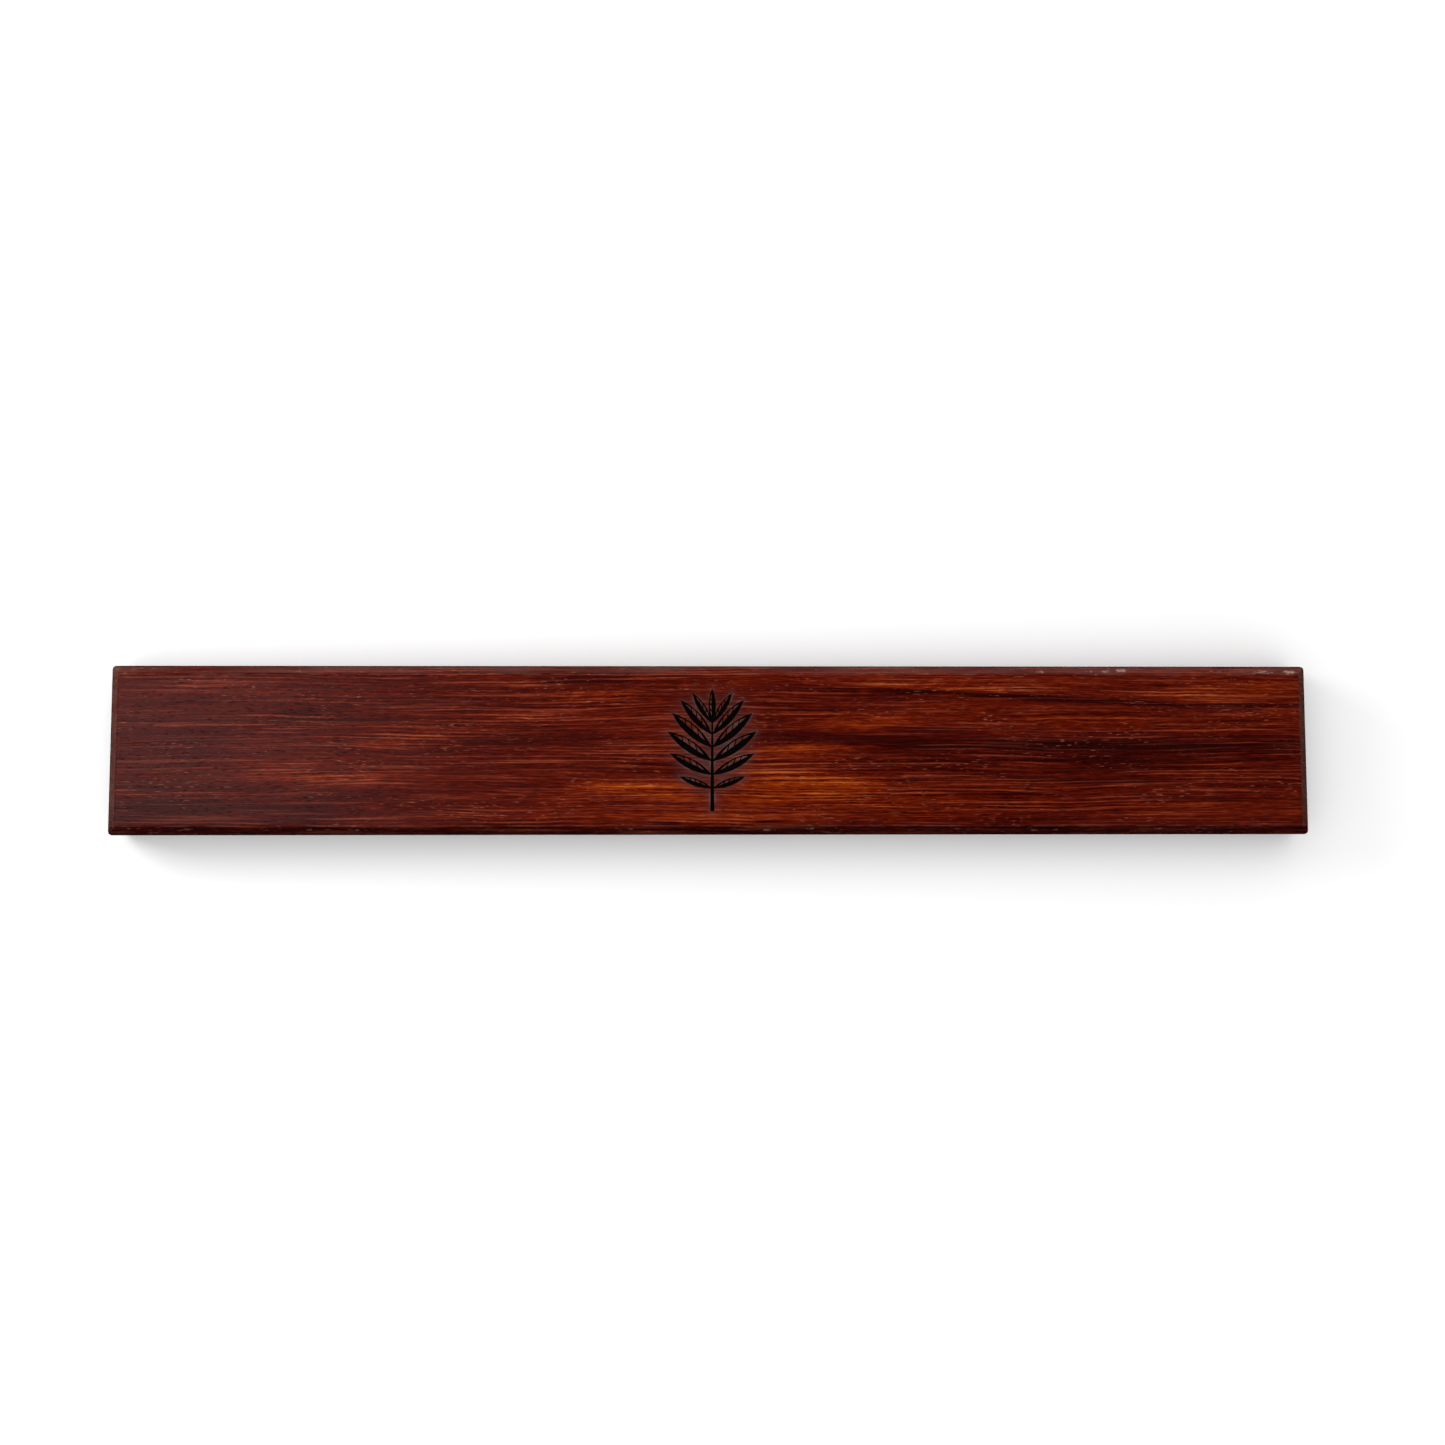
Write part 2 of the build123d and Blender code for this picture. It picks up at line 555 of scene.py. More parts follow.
@dataclass(frozen=True)
class MouldedSilicone:
    """Matte black silicone with a fine moulded texture and the dust that silicone picks up."""

    def material(self) -> Material:
        """Mixes the finish.

        Returns:
            The material.
        """
        bench = Bench.for_material("moulded_silicone")
        place = bench.place()
        orange_peel = bench.noise(place, (0.22, 0.22, 0.22), 2.0)
        cloud = bench.noise(place, (3.0, 3.0, 3.0), 3.0)
        dust = (bench.noise(place, (0.5, 0.5, 0.5), 2.0) + cloud * 0.6).step(0.14, 0.34)
        black = ((0.0, (0.011, 0.011, 0.012)), (1.0, (0.024, 0.024, 0.026)))
        colour = bench.ramp((0.5 + cloud * 1.2).held(), black)
        colour = bench.blend(dust * 0.35, colour, (0.16, 0.15, 0.14))
        return bench.finish(
            Base_Color=colour,
            Roughness=0.58 + cloud * 0.25 + dust * 0.2,
            Normal=bench.bump(0.5 + orange_peel, 0.03, 0.5),
            Specular_IOR_Level=0.45,
        )


@dataclass(frozen=True)
class AdhesiveTape:
    """Milky acrylic tape, slightly yellow, with tiny trapped bubbles and a tacky sheen."""

    def material(self) -> Material:
        """Mixes the finish.

        Returns:
            The material.
        """
        bench = Bench.for_material("adhesive_tape")
        place = bench.place()
        cloud = bench.noise(place, (2.0, 2.0, 2.0), 2.0)
        bubble = bench.noise(place, (0.3, 0.3, 0.3)).step(0.16, 0.3)
        colour = bench.ramp((0.5 + cloud).held(), ((0.0, (0.52, 0.50, 0.43)), (1.0, (0.74, 0.72, 0.66))))
        colour = bench.blend(bubble * 0.5, colour, (0.86, 0.85, 0.82))
        return bench.finish(
            Base_Color=colour,
            Roughness=0.36 + cloud * 0.2,
            Normal=bench.bump(0.5 + bubble * 0.4 + cloud * 0.3, 0.02, 0.5),
        )


@dataclass(frozen=True)
class SeamlessPaper:
    """Matte white studio paper."""

    def material(self) -> Material:
        """Mixes the finish.

        Returns:
            The material.
        """
        bench = Bench.for_material("seamless_paper")
        tooth = bench.noise(bench.place(), (0.8, 0.8, 1.0), 2.0)
        white = ((0.0, (0.895, 0.895, 0.895)), (1.0, (0.905, 0.905, 0.905)))
        colour = bench.ramp((0.5 + tooth).held(), white)
        return bench.finish(
            Base_Color=colour,
            Roughness=0.92,
            Normal=bench.bump(0.5 + tooth, 0.01, 0.3),
            Specular_IOR_Level=0.1,
        )


# ---------------------------------------------------------------- the board
class Surface(Enum):
    """The board's three kinds of surface, by material slot."""

    OILED = 0
    CHARRED = 1
    DRILLED = 2


class Facing(Enum):
    """Which way a flat patch of the frame faces."""

    UP = 1
    DOWN = -1


@dataclass(frozen=True)
class Ripple:
    """Smooth noise on a seeded square lattice, from -1 to 1."""

    seed: int
    cells: int = 256

    def at(self, u: Points, v: Points) -> Points:
        """Reads the noise.

        Args:
            u: places along the first direction, in cells.
            v: places along the second.

        Returns:
            The values there.
        """
        lattice = np.random.default_rng(self.seed).uniform(-1.0, 1.0, (self.cells, self.cells))
        u, v = np.broadcast_arrays(np.asarray(u, float), np.asarray(v, float))
        column, row = np.floor(u).astype(int), np.floor(v).astype(int)
        s, t = u - column, v - row
        s, t = s * s * (3 - 2 * s), t * t * (3 - 2 * t)
        a, b = column % self.cells, (column + 1) % self.cells
        c, d = row % self.cells, (row + 1) % self.cells
        near = lattice[a, c] * (1 - s) + lattice[b, c] * s
        far = lattice[a, d] * (1 - s) + lattice[b, d] * s
        return near * (1 - t) + far * t


@dataclass(frozen=True)
class Streak:
    """A band of darker or lighter wood, in millimetres from the board's middle.

    Tone is how much lighter it is, or darker when negative. Warmth is how much more orange.
    """

    x: float
    y: float
    reach: float
    breadth: float
    tone: float
    warmth: float = 0.0
    slope: float = 0.0

    def mask(self, x: Points, y: Points) -> Points:
        """How strongly the streak shows at some places, from 0 to 1.

        Args:
            x: places along the board, in millimetres.
            y: places across it.

        Returns:
            The mask there.
        """
        along = (x - self.x) / self.reach
        across = (y - self.y - self.slope * (x - self.x)) / self.breadth
        return np.exp(-(along**4) - np.abs(across) ** 2.5)


class Side(Enum):
    """The board's long sides, by the sign of Y."""

    BACK = 1
    FRONT = -1


@dataclass(frozen=True)
class Knock:
    """A rubbed or bruised spot on a long bevel, in millimetres: how far along, half length and depth.

    Rub is how pale it is, from 0 to 1. Out is how far outside the upper arris its middle lies.
    """

    x: float
    reach: float
    depth: float
    rub: float
    side: Side = Side.BACK
    out: float = 0.9
    breadth: float = 1.0

    def mask(self, x: Points, y: Points, arris: float) -> Points:
        """How strongly it shows at some places, from 0 to 1.

        Args:
            x: places along the board.
            y: places across it.
            arris: the upper arris's distance from the board's middle.

        Returns:
            The mask there.
        """
        along = (x - self.x) / self.reach
        across = (y * self.side.value - arris - self.out) / self.breadth
        return np.exp(-(along**2) - across**2)


@dataclass
class Board:
    """The hardwood board, measured from its CAD node and rebuilt with a worked surface."""

    node: Object
    name: str = "oiled_board"
    slot: str = "oiled_hardwood"
    # how far the easing round the top and the underside reaches down and up the side
    rim: float = 0.146 * MM
    # gaps between the top's grid lines: in the band along its edges, elsewhere, and round the engraving
    edge_band: float = 4.4 * MM
    edge_gap: float = 0.4 * MM
    row_gap: float = 0.42 * MM
    column_gap: float = 2.1 * MM
    middle: float = 20.0 * MM
    middle_gap: float = 0.5 * MM
    # the underside shares every so many of the top's lines
    stride: int = 8
    # how far the smoke and the ash reach round the engraving, in millimetres
    scorch_reach: float = 2.2
    ash_reach: float = 0.42
    # the worked surface's relief, in millimetres
    ease: float = 0.34
    planing_marks: float = 0.035
    raised_grain: float = 0.030
    furrows: float = 0.055
    knocks: tuple[Knock, ...] = (
        Knock(121.0, 1.8, 0.22, 0.66),
        Knock(139.5, 2.2, 0.12, 0.42),
        Knock(145.5, 2.0, 0.24, 0.62),
        Knock(151.5, 2.4, 0.26, 0.74, out=1.3),
        Knock(188.0, 9.0, 0.05, 0.36),
        Knock(204.0, 5.0, 0.14, 0.52, out=0.7),
        Knock(214.0, 3.2, 0.24, 0.68, out=0.8),
        Knock(-150.0, 3.0, 0.10, 0.40),
        Knock(-190.0, 2.4, 0.06, 0.56, Side.FRONT, 0.7, 0.40),
        Knock(-169.0, 2.2, 0.05, 0.54, Side.FRONT, 0.9, 0.36),
        Knock(-146.0, 2.2, 0.05, 0.56, Side.FRONT, 1.0, 0.36),
        Knock(-130.0, 2.4, 0.04, 0.50, Side.FRONT, 1.2, 0.34),
        Knock(-115.0, 2.6, 0.05, 0.50, Side.FRONT, 0.9, 0.34),
        Knock(-30.0, 2.0, 0.05, 0.62, Side.FRONT, 1.0, 0.36),
        Knock(-10.0, 2.6, 0.04, 0.48, Side.FRONT, 1.5, 0.34),
        Knock(20.5, 3.0, 0.07, 0.66, Side.FRONT, 1.3, 0.44),
        Knock(36.0, 2.6, 0.05, 0.62, Side.FRONT, 0.8, 0.34),
        Knock(73.0, 2.6, 0.04, 0.54, Side.FRONT, 1.4, 0.34),
        Knock(118.0, 2.2, 0.04, 0.52, Side.FRONT, 1.1, 0.34),
        Knock(164.0, 2.6, 0.05, 0.50, Side.FRONT, 0.9, 0.34),
    )
    streaks: tuple[Streak, ...] = (
        Streak(140, 18.6, 84, 0.9, -0.42, slope=-0.040),
        Streak(146, 0.2, 84, 4.8, -0.27, -0.10, -0.014),
        Streak(165, 2.0, 62, 0.9, -0.22, slope=-0.012),
        Streak(128, -6.8, 34, 3.0, -0.09),
        Streak(187, -6.0, 14, 2.4, 0.12, 0.10),
        Streak(125, -10.0, 44, 1.0, -0.20, slope=-0.035),
        Streak(182, -19.0, 20, 0.9, -0.16, slope=-0.01),
        Streak(192, 23.0, 28, 3.6, 0.06, 0.30),
        Streak(140, 11.5, 26, 4.0, 0.05, 0.30),
        Streak(108, 23.5, 30, 3.0, 0.07, 0.20),
        Streak(72, 24.0, 18, 3.5, 0.09, 0.10),
        Streak(55, 11.0, 20, 3.0, 0.11, 0.30),
        Streak(88, 14.0, 16, 4.0, 0.06, 0.20),
        Streak(42, 4.5, 30, 2.4, -0.22, -0.05, -0.03),
        Streak(40, 0.8, 24, 1.6, 0.16, 0.45),
        Streak(76, 0.5, 14, 2.5, -0.07),
        Streak(30, -14.5, 30, 5.5, 0.17, 0.60),
        Streak(95, -20.0, 44, 6.0, -0.01, 0.30),
        Streak(16, -23.5, 34, 3.0, 0.06, 0.05),
        Streak(-28, -15.0, 24, 3.2, 0.20, 0.50),
        Streak(-47, 26.0, 17, 2.2, -0.24, -0.25),
        Streak(-40, 19.5, 16, 3.0, 0.12, 0.30),
        Streak(-62, 3.5, 24, 3.6, -0.09, -0.05),
        Streak(-92, 0.8, 18, 2.4, -0.09),
        Streak(-114, 4.5, 16, 3.8, 0.06, 0.25),
        Streak(-122, 10.0, 16, 2.6, -0.09),
        Streak(-138, -7.5, 36, 4.6, 0.10, 0.30),
        Streak(-148, -15.5, 28, 0.9, -0.14, -0.20),
        Streak(-160, -22.0, 26, 4.0, -0.21, -0.25),
        Streak(-203, -22.0, 24, 6.0, -0.21, -0.50),
        Streak(-197, 1.0, 20, 6.0, -0.10, -0.30),
        Streak(-176, 22.5, 18, 3.0, 0.11, 0.15),
        Streak(172, -11.0, 52, 6.5, -0.07),
        Streak(72, -6.0, 26, 4.5, -0.10),
        Streak(-160, 6.0, 30, 6.0, -0.05),
        Streak(-97, 14.0, 22, 5.0, -0.07),
        Streak(8, -22.0, 80, 3.5, 0.06, 0.10),
        Streak(-16, -27.0, 4, 0.7, -0.35, -0.2),
        Streak(21, -26.6, 5, 0.8, -0.32, -0.2),
    )

    def __post_init__(self) -> None:
        """Reads the board's sizes from its CAD node."""
        corners = np.array([v.co for v in self.node.data.vertices], float)
        self.bottom = corners[:, 2].min()
        self.half_length, self.half_width, self.top = corners.max(0)
        self.bevel = self.half_length - self._reach(corners, 2, self.top)
        self.lower_bevel = self.half_length - self._reach(corners, 2, self.bottom)
        self.corner = self.half_length - self._reach(corners, 1, self.half_width)
        self.arris = (self.half_width - self.bevel) / MM

    @staticmethod
    def _reach(corners: Points, axis: int, level: float) -> float:
        """How far along X the vertices at one level of an axis reach."""
        there = np.abs(corners[:, axis] - level) < SAME
        return float(np.abs(corners[there][:, 0]).max())

    # ---- the blank
    def _lines(self, half: float, gaps: Sequence[tuple[float, float, float]]) -> tuple[Points, list[int]]:
        """Places of the grid lines along one direction.

        Args:
            half: half the grid's size.
            gaps: (start, end, gap) of each stretch between the two close-set edge bands.

        Returns:
            The places from one edge to the other, and which of them the underside shares.
        """
        count = round(self.edge_band / self.edge_gap)
        edge = list(np.linspace(half, half - self.edge_band, count + 1))
        places = [-p for p in edge]
        shared = list(range(len(places)))
        for start, end, gap in gaps:
            groups = max(1, round((end - start) / gap / self.stride))
            steps = np.linspace(start, end, groups * self.stride + 1)[1:]
            first = len(places)
            places.extend(steps)
            shared.extend(range(first + self.stride - 1, len(places), self.stride))
        mirrored = edge[::-1][1:]
        shared.extend(range(len(places), len(places) + len(mirrored)))
        places.extend(mirrored)
        return np.array(places), shared

    @staticmethod
    def _past_corner(x: Points, y: Points, half: Pair, radius: float) -> tuple[Points, Points]:
        """How far places lie past the straight part of a rounded outline's sides, along X and along Y."""
        straight_x, straight_y = half[0] - radius, half[1] - radius
        return np.maximum(np.abs(x) - straight_x, 0.0), np.maximum(np.abs(y) - straight_y, 0.0)

    @staticmethod
    def _rounded(x: Points, y: Points, half: Pair, radius: float) -> tuple[Points, Points]:
        """Draws the corners of a rectangular grid in to a rounded outline.

        Args:
            x: the grid's places along X.
            y: the grid's places along Y.
            half: half the rectangle's sizes.
            radius: the outline's corner radius.

        Returns:
            The moved places.
        """
        a, b = Board._past_corner(x, y, half, radius)
        squeeze = np.where((a > 0) & (b > 0), np.maximum(a, b) / np.maximum(np.hypot(a, b), 1e-12), 1.0)
        return x - np.sign(x) * a * (1 - squeeze), y - np.sign(y) * b * (1 - squeeze)

    def _worked_depth(self, x: Points, y: Points) -> Points:
        """How far the worked top lies below the board's highest level.

        Args:
            x: places along the board.
            y: places across it.

        Returns:
            The depth at each place: the bevels with hand-eased arrises, knocks, and raised grain.
        """
        x_mm, y_mm = x / MM, y / MM
        beyond_end = (np.abs(x) - (self.half_length - self.bevel)) / MM
        beyond_side = (np.abs(y) - (self.half_width - self.bevel)) / MM
        over = 0.5 * (beyond_end + beyond_side + np.sqrt((beyond_end - beyond_side) ** 2 + 0.02))
        side = np.sign(y_mm)
        over = over + 0.07 * Ripple(11).at(x_mm / 38, side * 3.3 + 9)
        over = over + 0.03 * Ripple(12).at(x_mm / 9, side + 9)
        ease = self.ease + 0.14 * Ripple(13).at(x_mm / 17, side * 2.1 + 5)
        bruise = sum(knock.depth * knock.mask(x_mm, y_mm, self.arris) for knock in self.knocks)
        bruise = bruise * (1.0 + 0.6 * Ripple(14).at(x_mm / 1.3, y_mm / 0.6))
        sweep = y_mm + 1.4 * Ripple(15).at(x_mm / 60, y_mm / 14)
        planed = self.planing_marks * (1 + Ripple(16).at(x_mm / 70, y_mm / 11))
        grain = self.raised_grain * (1 + Ripple(17).at(x_mm / 24, sweep / 0.95))
        furrow = self.furrows * np.clip(Ripple(18).at(x_mm / 12, sweep / 0.8) - 0.45, 0, 1)
        eased = 0.5 * (over + np.sqrt(over**2 + ease**2))
        return (eased + bruise + planed + grain + furrow) * MM

    def _rings(self) -> tuple[Rings, Rings]:
        """The loops of the board's side, each as its outward offset from the top's rim and its height.

        Returns:
            The close-set loops, with heights from the rim, and the wider-set ones, from the underside.
        """
        rim, wall = self.rim, self.lower_bevel
        upper = ((0.74 * rim, -1.23 * rim), (rim, -2.42 * rim), (rim, -8.0 * rim))
        lower = (
            (rim, wall + 2.2 * MM),
            (rim, wall + 1.42 * rim),
            (0.74 * rim, wall + 0.23 * rim),
            (0.0, wall - rim),
        )
        return upper, lower

    def _blank(self) -> Object:
        """Builds the uncut board.

        Returns:
            A closed mesh object.
        """
        half = (self.half_length - self.rim, self.half_width - self.rim)
        inner = (half[0] - self.edge_band, half[1] - self.edge_band)
        columns, shared_columns = self._lines(
            half[0],
            (
                (-inner[0], -self.middle, self.column_gap),
                (-self.middle, self.middle, self.middle_gap),
                (self.middle, inner[0], self.column_gap),
            ),
        )
        rows, shared_rows = self._lines(half[1], ((-inner[1], inner[1], self.row_gap),))
        x, y = np.meshgrid(columns, rows, indexing="ij")
        x, y = self._rounded(x, y, half, self.corner - self.rim)
        z = self.top - self._worked_depth(x, y)
        mesh = Shell()
        top = mesh.grid(x, y, z)
        rim = self._border(top)
        order = {vertex: number for number, vertex in enumerate(rim)}
        picks = [order[vertex] for vertex in self._border(top[np.ix_(shared_columns, shared_rows)])]
        base = np.array([mesh.points[v] for v in rim])
        outward = self._outward(base, half, self.corner - self.rim)
        upper, lower = self._rings()
        loop = rim
        for offset, height in upper:
            loop = mesh.wall(loop, base[:, :2] + outward * offset, base[:, 2] + height)
        base, outward = base[picks], outward[picks]
        for offset, height in lower:
            level = np.full(len(picks), self.bottom + height)
            loop = mesh.wall(loop, base[:, :2] + outward * offset, level, picks)
            picks = range(len(picks))
        self._close_underside(mesh, loop, columns[shared_columns], rows[shared_rows])
        return mesh.build(self.name)

    def _close_underside(self, mesh: "Shell", loop: list[int], columns: Points, rows: Points) -> None:
        """Adds the lower bevel's end and the flat underside.

        Args:
            mesh: the shell so far.
            loop: its lowest loop.
            columns: the underside's grid lines along X, before it is drawn in.
            rows: the same along Y.
        """
        draw_in = self.lower_bevel + 0.06 * MM - self.rim
        half = (columns[-1] - draw_in, rows[-1] - draw_in)
        x, y = np.meshgrid(columns * half[0] / columns[-1], rows * half[1] / rows[-1], indexing="ij")
        x, y = self._rounded(x, y, half, self.corner - self.lower_bevel)
        under = mesh.grid(x, y, np.full(x.shape, self.bottom), flipped=True)
        border = self._border(under)
        start = np.array([mesh.points[v] for v in loop])
        end = np.array([mesh.points[v] for v in border])
        for share, lift in ((0.82, 0.0), (0.94, 0.012 * MM)):
            spots = start + (end - start) * share
            loop = mesh.wall(loop, spots[:, :2], spots[:, 2] - lift)
        mesh.bridge(loop, border)

    @staticmethod
    def _border(grid: Points) -> list[int]:
        """The grid's outer vertices, once round, anticlockwise from above.

        Args:
            grid: vertex numbers by column and row.

        Returns:
            Their numbers in order.
        """
        sides = (grid[:-1, 0], grid[-1, :-1], grid[:0:-1, -1], grid[0, :0:-1])
        return [int(v) for side in sides for v in side]

    @staticmethod
    def _outward(base: Points, half: Pair, radius: float) -> Points:
        """Outward directions round a rounded outline.

        Args:
            base: the outline's vertices.
            half: half the outline's sizes.
            radius: its corner radius.

        Returns:
            A unit direction in plan for each vertex.
        """
        a, b = Board._past_corner(base[:, 0], base[:, 1], half, radius)
        length = np.maximum(np.hypot(a, b), 1e-12)
        return np.sign(base[:, :2]) * np.stack([a, b], 1) / length[:, None]

    # ---- the cuts
    def _patch(self, facing: Facing, start: float, end: float, name: str) -> Object:
        """A cutter with the outline of the CAD board's recessed flats.

        Args:
            facing: which way the flats face.
            start: the flats' level.
            end: the level that the cutter reaches to, outside the board.
            name: the cutter's name.

        Returns:
            A closed mesh object.
        """
        shape = bmesh.new()
        places: dict[int, bmesh.types.BMVert] = {}
        for level, face in self._flats(facing):
            if abs(level - start) < 0.01 * MM:
                for index in face.vertices:
                    if index not in places:
                        places[index] = shape.verts.new(self.node.data.vertices[index].co)
                shape.faces.new([places[index] for index in face.vertices])
        bmesh.ops.remove_doubles(shape, verts=shape.verts, dist=WELD)
        grown = bmesh.ops.extrude_face_region(shape, geom=list(shape.faces), use_keep_orig=True)
        raised = [item for item in grown["geom"] if isinstance(item, bmesh.types.BMVert)]
        bmesh.ops.translate(shape, verts=raised, vec=(0.0, 0.0, end - start))
        bmesh.ops.recalc_face_normals(shape, faces=shape.faces)
        mesh = bpy.data.meshes.new(name)
        shape.to_mesh(mesh)
        shape.free()
        cutter = bpy.data.objects.new(name, mesh)
        bpy.context.scene.collection.objects.link(cutter)
        return cutter

    def _flats(self, facing: Facing) -> list[tuple[float, bpy.types.MeshPolygon]]:
        """Level faces of the CAD board.

        Args:
            facing: which way they face.

        Returns:
            Each face after its level, to a micrometre, in metres.
        """
        data = self.node.data
        return [
            (round(data.vertices[face.vertices[0]].co.z, 6), face)
            for face in data.polygons
            if face.normal.z * facing.value > LEVEL_ENOUGH
        ]

    def _cut(self, board: Object, cutter: Object) -> None:
        """Takes a cutter's shape out of the board and throws the cutter away.

        Args:
            board: the board.
            cutter: a closed mesh object.
        """
        change = board.modifiers.new("cut", "BOOLEAN")
        change.operation = "DIFFERENCE"
        change.solver = "EXACT"
        change.object = cutter
        carved = bpy.data.meshes.new_from_object(board.evaluated_get(bpy.context.evaluated_depsgraph_get()))
        board.modifiers.clear()
        old = board.data
        board.data = carved
        bpy.data.meshes.remove(old)
        bpy.data.objects.remove(cutter)

    # ---- paint
    def _paint(self, board: Object, outline: Points) -> None:
        """Writes what the finish reads at the vertices: broad tone, warmth, painted haze on the left and
        the smoke of the burning.

        Args:
            board: the finished mesh object.
            outline: points of the engraving, in plan.
        """
        mesh = board.data
        spots = np.empty(len(mesh.vertices) * 3, np.float32)
        mesh.vertices.foreach_get("co", spots)
        spots = spots.reshape(-1, 3).astype(float) / MM
        x, depth = spots[:, 0], self.top / MM - spots[:, 2]
        y = spots[:, 1] + 0.55 * depth
        y = y + 1.3 * Ripple(21).at(x / 45, y / 9) + 0.5 * Ripple(22).at(x / 14, y / 2.5)
        # the left part is darker and cooler: partly the wood's own colour, partly a painted haze of
        # reflection
        left = np.clip(-(x + 60) / 160, 0, 1)
        tone = 0.05 * Ripple(23).at(x / 60, y / 6) - 0.065 * left
        warmth = 0.48 - 0.42 * left
        comb = 1.0 + 0.45 * Ripple(25).at(x / 34, y / 0.9)
        for streak in self.streaks:
            mask = streak.mask(x, y) * comb
            tone = tone + streak.tone * mask
            warmth = warmth + streak.warmth * mask
        self._write(mesh, "tone", tone)
        self._write(mesh, "warmth", warmth)
        wear = sum(knock.rub * knock.mask(spots[:, 0], spots[:, 1], self.arris) for knock in self.knocks)
        self._write(mesh, "wear", np.clip(wear, 0, 1))
        gap = self._from_engraving(spots, outline / MM)
        uneven = 0.75 + 0.35 * Ripple(24).at(spots[:, 0] / 4, spots[:, 1] / 3)
        extent = np.abs(outline).max(0) / MM
        shelter = np.clip(1.4 - np.hypot(spots[:, 0] / extent[0], spots[:, 1] / extent[1]), 0.2, 1)
        smoke = uneven * shelter * np.exp(-((gap / self.scorch_reach) ** 2))
        self._write(mesh, "scorch", np.clip(smoke, 0, 1))
        self._write(mesh, "ash", np.clip(2 * uneven - 0.8, 0, 1) * np.exp(-((gap / self.ash_reach) ** 2)))

    def _from_engraving(self, spots: Points, outline: Points) -> Points:
        """How far each vertex of the upper face lies from the engraving.

        Args:
            spots: the vertices, in millimetres.
            outline: points of the engraving in plan, in millimetres.

        Returns:
            The distances, in millimetres, and a long way for vertices elsewhere.
        """
        tree = KDTree(len(outline))
        for number, point in enumerate(outline):
            tree.insert((point[0], point[1], 0.0), number)
        tree.balance()
        reach = np.abs(outline).max(0) + 3 * self.scorch_reach
        near = (np.abs(spots[:, 0]) < reach[0]) & (spots[:, 2] > self.top / MM - 1.0)
        gaps = np.full(len(spots), 100.0)
        for number in np.nonzero(near)[0]:
            gaps[number] = tree.find((spots[number, 0], spots[number, 1], 0.0))[2]
        return gaps

    @staticmethod
    def _write(mesh: bpy.types.Mesh, name: str, values: Points) -> None:
        """Stores one number per vertex."""
        mesh.attributes.new(name, "FLOAT", "POINT").data.foreach_set("value", values.astype(np.float32))

    def _sort_faces(self, board: Object, floor: float, roof: float) -> None:
        """Gives each face its surface and marks the crisp edges.

        Args:
            board: the cut mesh object.
            floor: the engraving floor's level.
            roof: the foot pockets' roof level.
        """
        margin, near = 4.0 * MM, 0.05 * MM
        data = bmesh.new()
        data.from_mesh(board.data)
        bmesh.ops.remove_doubles(data, verts=data.verts, dist=WELD)
        for face in data.faces:
            face.smooth = True
            levels = [v.co.z for v in face.verts]
            inside_x = all(abs(v.co.x) < self.half_length - margin for v in face.verts)
            inside_y = all(abs(v.co.y) < self.half_width - margin for v in face.verts)
            upright = abs(face.normal.z) < UPRIGHT_ENOUGH
            if not (inside_x and inside_y):
                continue
            if min(levels) > floor - near and (upright or max(levels) < floor + near):
                face.material_index = Surface.CHARRED.value
            elif max(levels) < roof + near and (upright or min(levels) > roof - near):
                face.material_index = Surface.DRILLED.value
        for face in list(data.faces):
            if face.material_index and len(face.verts) > 4 and abs(face.normal.z) < UPRIGHT_ENOUGH:
                self._fan(data, face)
        for edge in data.edges:
            if len(edge.link_faces) == 2 and edge.calc_face_angle(0.0) > CRISP_ANGLE:
                edge.smooth = False
        data.to_mesh(board.data)
        data.free()

    @staticmethod
    def _fan(data: bmesh.types.BMesh, wall: bmesh.types.BMFace) -> None:
        """Splits a cut's wall into triangles that meet at its deep end, so that none spans its rim.

        Args:
            data: the mesh that holds it.
            wall: an upright face of the engraving or of a foot pocket.
        """
        ring = list(wall.verts)
        deepest = min if wall.material_index == Surface.CHARRED.value else max
        first = ring.index(deepest(ring, key=lambda v: v.co.z))
        ring = ring[first:] + ring[:first]
        for second, third in zip(ring[1:], ring[2:]):
            data.faces.new((ring[0], second, third), wall)
        data.faces.remove(wall)

    def build(self, finishes: Sequence[Material]) -> Object:
        """Makes the board.

        Args:
            finishes: the materials, in the order of Surface.

        Returns:
            The board's object, riding its body in the frame.
        """
        floor = min(level for level, _ in self._flats(Facing.UP))
        roof = max(level for level, _ in self._flats(Facing.DOWN))
        board = self._blank()
        clear = 1.0 * MM
        sprig = self._patch(Facing.UP, floor, self.top + clear, "sprig_cutter")
        outline = self._walked(sprig.data)
        self._cut(board, sprig)
        self._cut(board, self._patch(Facing.DOWN, roof, self.bottom - clear, "pocket_cutter"))
        board.data.materials.clear()
        for finish in finishes:
            board.data.materials.append(finish)
        self._sort_faces(board, floor, roof)
        self._paint(board, outline)
        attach(board, BODY)
        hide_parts(self.node.name)
        return board

    @staticmethod
    def _walked(mesh: bpy.types.Mesh, pace: float = 0.4 * MM) -> Points:
        """Points spaced along a mesh's edges, in plan.

        Args:
            mesh: the mesh.
            pace: the most between two points.

        Returns:
            The points, one row each.
        """
        found = []
        for edge in mesh.edges:
            start, end = (mesh.vertices[v].co.xy for v in edge.vertices)
            steps = max(1, math.ceil((end - start).length / pace))
            found.extend(tuple(start.lerp(end, step / steps)) for step in range(steps + 1))
        return np.array(found)


